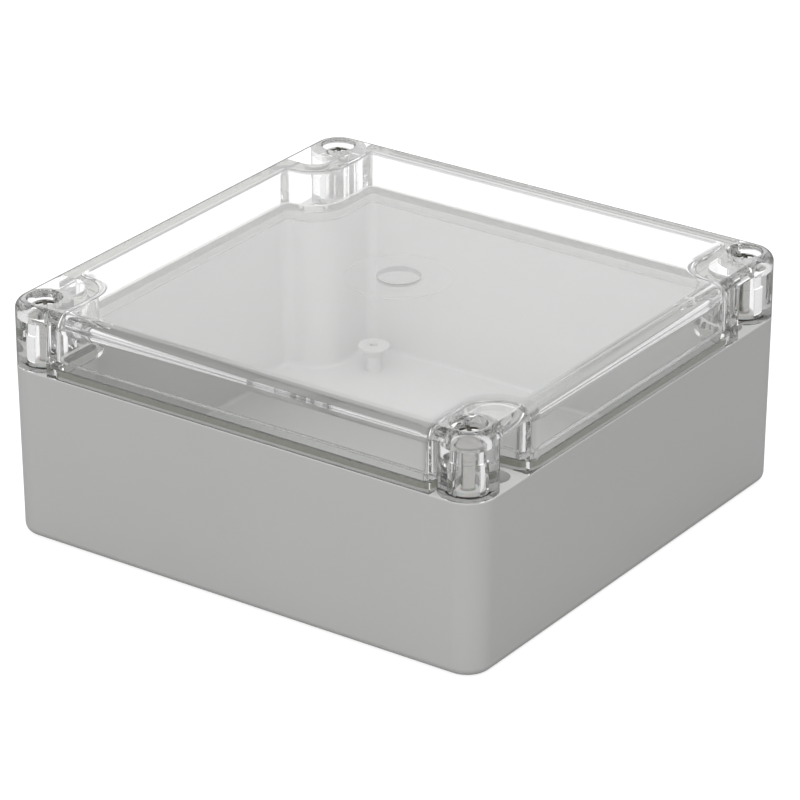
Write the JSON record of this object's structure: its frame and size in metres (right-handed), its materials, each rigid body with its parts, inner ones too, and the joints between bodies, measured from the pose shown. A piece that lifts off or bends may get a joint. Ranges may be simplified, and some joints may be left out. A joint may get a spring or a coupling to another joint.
{
  "type": "clear-lid enclosure",
  "caption": "Square wall-mount electronics enclosure with a moulded grey base, a clear polycarbonate lid, a rim gasket and captive corner screws in open pockets.",
  "frame": {"origin": "under the middle of the base, on the face it rests or is screwed against", "axes": "+Z from the base up through the clear lid, +X along the longer side, +Y along the shorter side"},
  "size_m": [0.122, 0.12, 0.055],
  "materials": {
    "grey_plastic": "fine satin moulded texture, light grey",
    "clear_polycarbonate": "polished, water-clear",
    "foam_gasket": "matt closed-cell foam, olive grey",
    "stainless_steel": "bright passivated stainless steel",
    "natural_nylon": "satin, milky natural nylon",
    "brass": "turned brass with a knurl"
  },
  "bodies": {
    "base": {"base": "grey_plastic", "insert_front_left": "brass", "insert_front_right": "brass", "insert_back_right": "brass", "insert_back_left": "brass"},
    "lid": {"lid": "clear_polycarbonate", "gasket": "foam_gasket"},
    "retainer_front_left": {"retainer_front_left": "natural_nylon"},
    "screw_front_left": {"screw_front_left": "stainless_steel"},
    "retainer_front_right": {"retainer_front_right": "natural_nylon"},
    "screw_front_right": {"screw_front_right": "stainless_steel"},
    "retainer_back_right": {"retainer_back_right": "natural_nylon"},
    "screw_back_right": {"screw_back_right": "stainless_steel"},
    "retainer_back_left": {"retainer_back_left": "natural_nylon"},
    "screw_back_left": {"screw_back_left": "stainless_steel"}
  },
  "joints": [
    {"name": "lid_lift", "type": "slide", "parent": "base", "child": "lid", "axis": [0, 0, 1], "range_m": [0, 0.03]},
    {"name": "screw_rise_front_left", "type": "slide", "parent": "lid", "child": "retainer_front_left", "axis": [0, 0, 1], "range_m": [0, 0.0056]},
    {"name": "screw_turn_front_left", "type": "hinge", "parent": "retainer_front_left", "child": "screw_front_left", "pos_m": [-0.0546, -0.0536, 0.0403], "axis": [0, 0, 1], "range_deg": [0, 2881]},
    {"name": "screw_rise_front_right", "type": "slide", "parent": "lid", "child": "retainer_front_right", "axis": [0, 0, 1], "range_m": [0, 0.0056]},
    {"name": "screw_turn_front_right", "type": "hinge", "parent": "retainer_front_right", "child": "screw_front_right", "pos_m": [0.0546, -0.0536, 0.0403], "axis": [0, 0, 1], "range_deg": [0, 2881]},
    {"name": "screw_rise_back_right", "type": "slide", "parent": "lid", "child": "retainer_back_right", "axis": [0, 0, 1], "range_m": [0, 0.0056]},
    {"name": "screw_turn_back_right", "type": "hinge", "parent": "retainer_back_right", "child": "screw_back_right", "pos_m": [0.0546, 0.0536, 0.0403], "axis": [0, 0, 1], "range_deg": [0, 2881]},
    {"name": "screw_rise_back_left", "type": "slide", "parent": "lid", "child": "retainer_back_left", "axis": [0, 0, 1], "range_m": [0, 0.0056]},
    {"name": "screw_turn_back_left", "type": "hinge", "parent": "retainer_back_left", "child": "screw_back_left", "pos_m": [-0.0546, 0.0536, 0.0403], "axis": [0, 0, 1], "range_deg": [0, 2881]}
  ],
  "couplings": [
    {"joint": "screw_turn_front_left", "follows": "screw_rise_front_left", "rad_per_m": 8976},
    {"joint": "screw_turn_front_right", "follows": "screw_rise_front_right", "rad_per_m": 8976},
    {"joint": "screw_turn_back_right", "follows": "screw_rise_back_right", "rad_per_m": 8976},
    {"joint": "screw_turn_back_left", "follows": "screw_rise_back_left", "rad_per_m": 8976}
  ]
}
